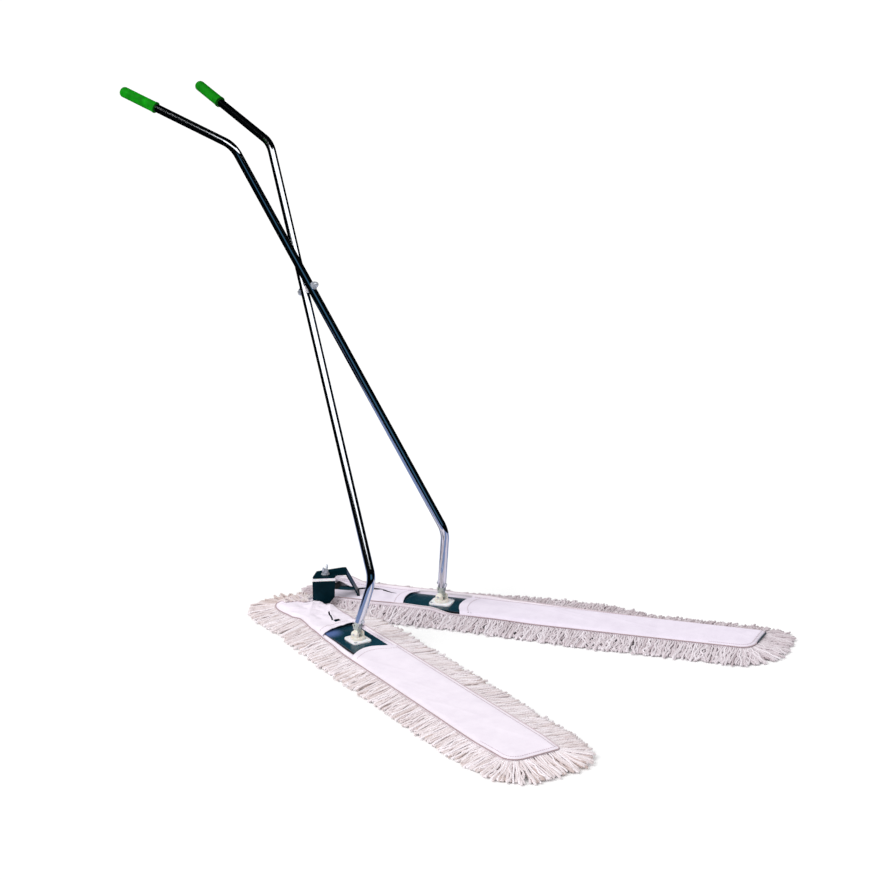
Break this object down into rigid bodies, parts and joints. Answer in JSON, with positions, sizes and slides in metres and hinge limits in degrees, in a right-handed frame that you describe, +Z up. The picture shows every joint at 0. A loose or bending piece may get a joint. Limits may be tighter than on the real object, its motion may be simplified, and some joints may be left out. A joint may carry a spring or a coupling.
{
  "type": "v-shaped mop",
  "caption": "V-shaped dust mop: fringed canvas sleeve mops on flat steel frames, hinged at the apex by a clamped bracket and worked by crossed bent tube handles on universal swivels.",
  "frame": {"origin": "on the floor, under the middle of the box round the whole mop at rest", "axes": "Z up from the floor; +X is forward, the way the V opens; +Y is toward the far mop"},
  "size_m": [1.4934, 1.0034, 1.1997],
  "materials": {
    "cotton_yarn": "matt twisted cotton",
    "canvas": "matt woven canvas",
    "binding_tape": "matt tape",
    "blued_steel": "gloss blue-black",
    "white_nylon": "satin white",
    "zinc_steel": "bright zinc plate",
    "cast_zinc": "cast grey",
    "chrome_tube": "polished chrome",
    "green_grip": "satin green"
  },
  "bodies": {
    "near_mop": {"near_yarn_pad": "cotton_yarn", "near_fringe": "cotton_yarn", "near_base_cloth": "canvas", "near_binding": "binding_tape", "near_apex_pocket": "canvas", "near_tip_pocket": "canvas", "near_frame": "blued_steel", "near_swivel_base": "white_nylon", "near_base_rivets": "zinc_steel", "near_bracket": "blued_steel", "near_bracket_rivets": "zinc_steel", "near_swivel_stud": "zinc_steel", "hinge_spacer": "white_nylon", "hinge_bolt": "zinc_steel", "hinge_washer": "zinc_steel"},
    "far_mop": {"far_yarn_pad": "cotton_yarn", "far_fringe": "cotton_yarn", "far_base_cloth": "canvas", "far_binding": "binding_tape", "far_apex_pocket": "canvas", "far_tip_pocket": "canvas", "far_frame": "blued_steel", "far_swivel_base": "white_nylon", "far_base_rivets": "zinc_steel", "far_bracket": "blued_steel", "far_bracket_rivets": "zinc_steel"},
    "hinge_wing_nut": {"hinge_wing_nut": "zinc_steel"},
    "near_turret": {"near_turret": "white_nylon", "near_lean_pin": "zinc_steel"},
    "near_knuckle": {"near_knuckle": "cast_zinc", "near_scissor_bolt": "zinc_steel"},
    "near_handle": {"near_tube": "chrome_tube", "near_grip": "green_grip", "near_fork": "cast_zinc", "near_fork_rivet": "zinc_steel", "cross_bolt": "zinc_steel", "cross_spacer": "white_nylon", "cross_washers": "zinc_steel", "cross_nut": "zinc_steel"},
    "far_handle": {"far_tube": "chrome_tube", "far_grip": "green_grip", "far_fork": "cast_zinc", "far_fork_rivet": "zinc_steel"},
    "far_knuckle": {"far_knuckle": "cast_zinc", "far_scissor_bolt": "zinc_steel"},
    "far_turret": {"far_turret": "white_nylon", "far_lean_pin": "zinc_steel", "far_swivel_stud": "zinc_steel"}
  },
  "joints": [
    {"name": "apex_hinge", "type": "hinge", "parent": "near_mop", "child": "far_mop", "pos_m": [-0.25875, -0.00881, 0.08], "axis": [0, 0, 1], "range_deg": [-29, 20], "deforming": ["near_fringe", "far_fringe"]},
    {"name": "wing_nut_turn", "type": "hinge", "parent": "near_mop", "child": "hinge_wing_nut", "pos_m": [-0.25875, -0.00881, 0.092], "axis": [0, 0, 1], "range_deg": [0, 270]},
    {"name": "near_swivel", "type": "hinge", "parent": "near_mop", "child": "near_turret", "pos_m": [-0.02922, -0.15685, 0.0255], "axis": [0, 0, 1], "range_deg": [-14.6, 10.1]},
    {"name": "near_lean", "type": "hinge", "parent": "near_turret", "child": "near_knuckle", "pos_m": [-0.02922, -0.15685, 0.0385], "axis": [0, 1, 0], "range_deg": [-50, 30]},
    {"name": "near_scissor", "type": "hinge", "parent": "near_knuckle", "child": "near_handle", "pos_m": [-0.02922, -0.15685, 0.0525], "axis": [0.8926, 0, 0.4509], "range_deg": [-3.22, 4.62]},
    {"name": "cross_pivot", "type": "hinge", "parent": "near_handle", "child": "far_handle", "pos_m": [-0.28645, -0.00881, 0.7617], "axis": [0.8926, 0, 0.4509], "range_deg": [-9.13, 6.33]},
    {"name": "far_scissor", "type": "hinge", "parent": "far_handle", "child": "far_knuckle", "pos_m": [-0.02922, 0.13923, 0.0525], "axis": [0.8926, 0, 0.4509], "range_deg": [-3.22, 4.62]},
    {"name": "far_lean", "type": "hinge", "parent": "far_knuckle", "child": "far_turret", "pos_m": [-0.02922, 0.13923, 0.0385], "axis": [0, 1, 0], "range_deg": [-30.1, 50.1]}
  ],
  "couplings": [
    {"joint": "near_swivel", "follows": "apex_hinge", "ratio": 0.5},
    {"joint": "near_scissor", "follows": "apex_hinge", "ratio": -0.15555},
    {"joint": "cross_pivot", "follows": "apex_hinge", "ratio": 0.3111},
    {"joint": "far_scissor", "follows": "apex_hinge", "ratio": -0.15555},
    {"joint": "far_lean", "follows": "near_lean", "ratio": -1}
  ]
}
